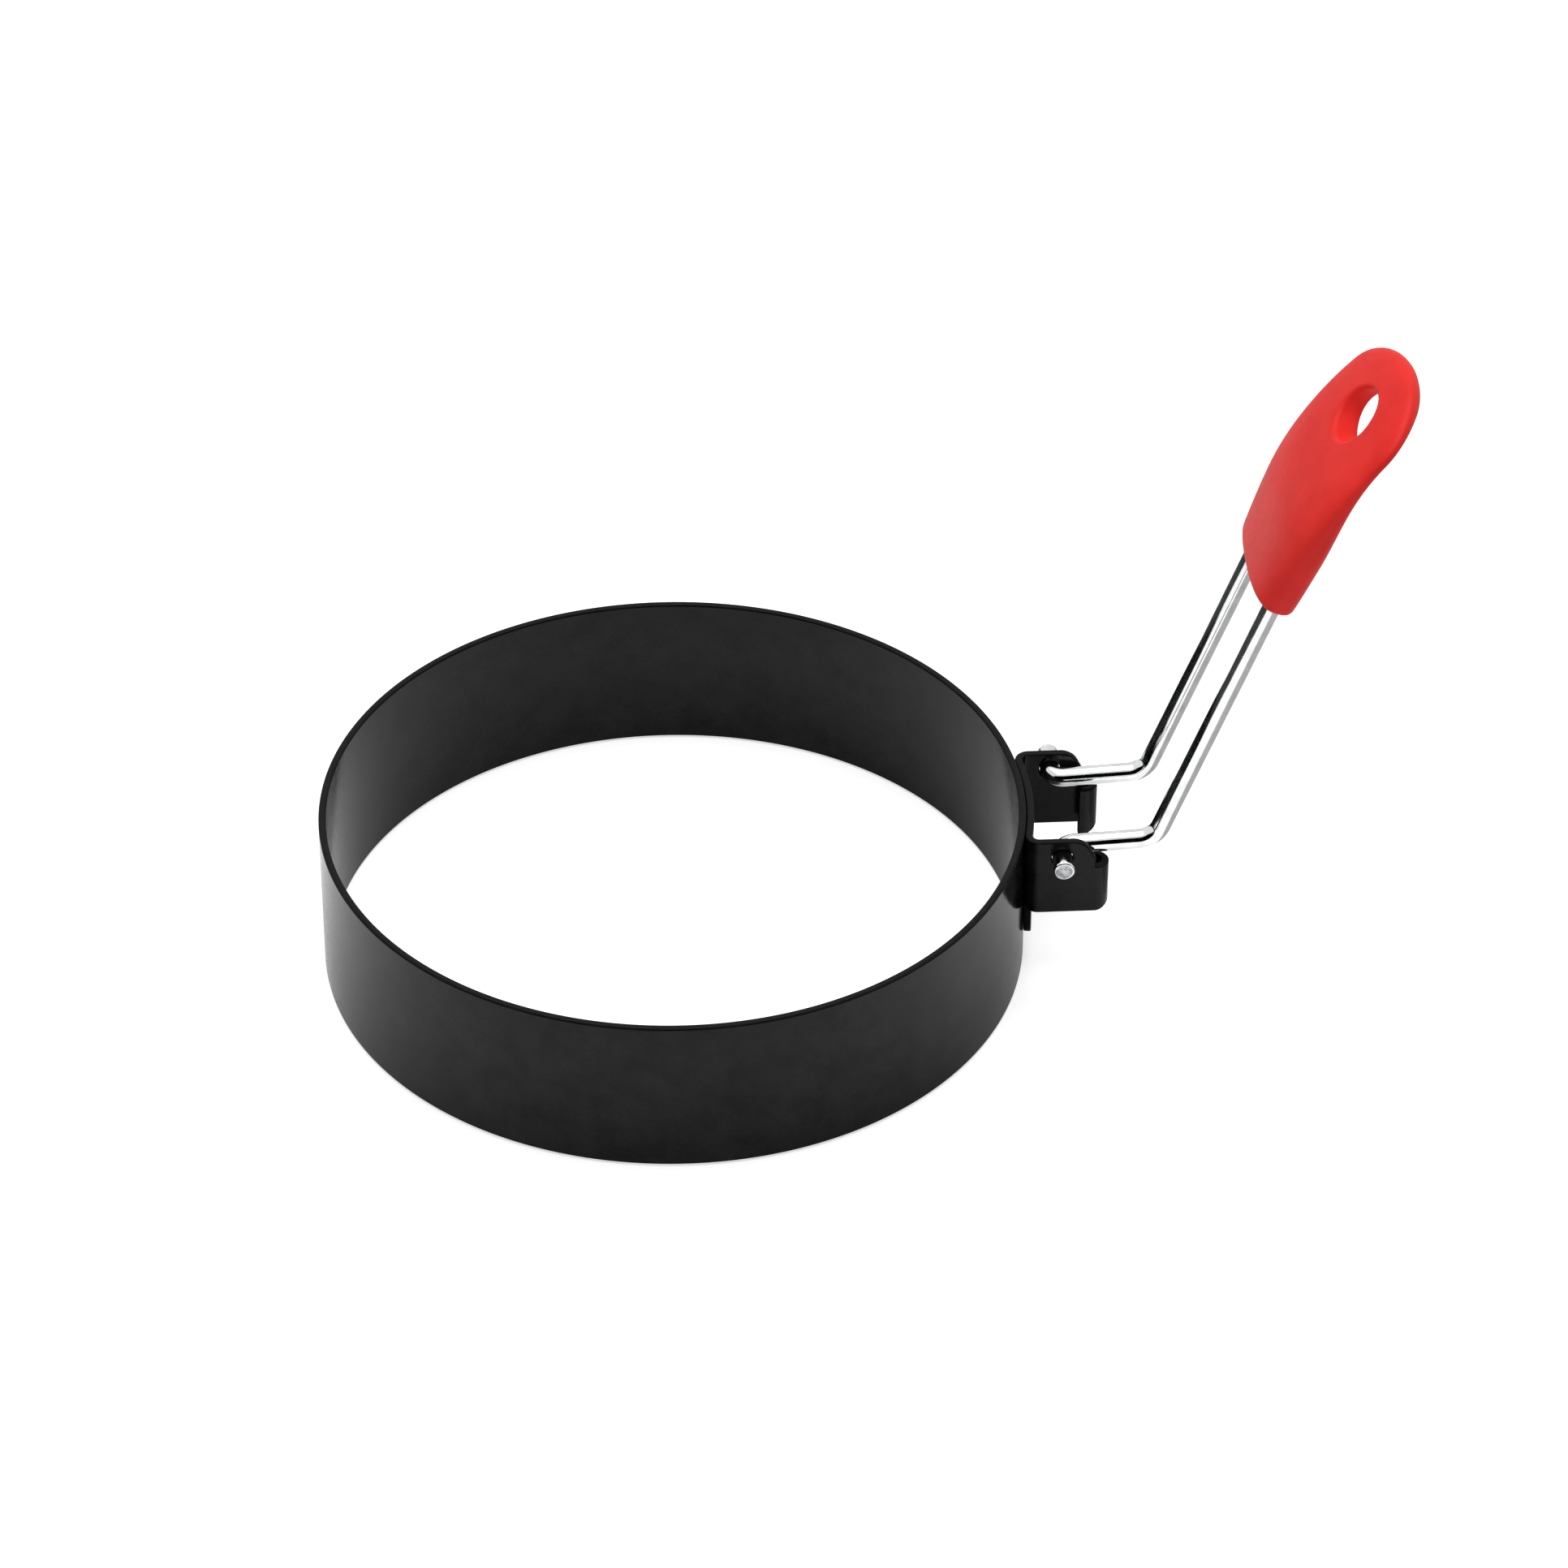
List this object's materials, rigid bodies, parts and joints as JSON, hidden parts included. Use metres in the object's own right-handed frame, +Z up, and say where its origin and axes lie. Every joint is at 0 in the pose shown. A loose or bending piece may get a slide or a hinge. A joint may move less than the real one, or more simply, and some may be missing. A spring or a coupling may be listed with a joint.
{
  "type": "egg ring",
  "caption": "Round metal ring that keeps a frying egg in shape, with a bracket welded to its side and a bent wire handle that folds in over it and ends in a moulded grip.",
  "frame": {"origin": "middle of the whole footprint, on the surface that the ring stands on", "axes": "+X from the ring towards the handle, +Z up along the ring's axis, Y across the hinge"},
  "size_m": [0.114, 0.075, 0.0701],
  "materials": {
    "coated_band": "semi-gloss black non-stick coating on thin steel strip",
    "coated_bracket": "semi-gloss black coating on pressed sheet steel",
    "polished_wire": "polished stainless steel wire",
    "red_grip": "smooth satin red moulded rubber"
  },
  "bodies": {
    "ring": {"ring_band": "coated_band", "handle_bracket": "coated_bracket"},
    "handle": {"wire_handle": "polished_wire", "grip": "red_grip"}
  },
  "joints": [
    {"name": "handle_fold", "type": "hinge", "parent": "ring", "child": "handle", "pos_m": [0.02129, 0, 0.01565], "axis": [0, -1, 0], "range_deg": [0, 115]}
  ]
}
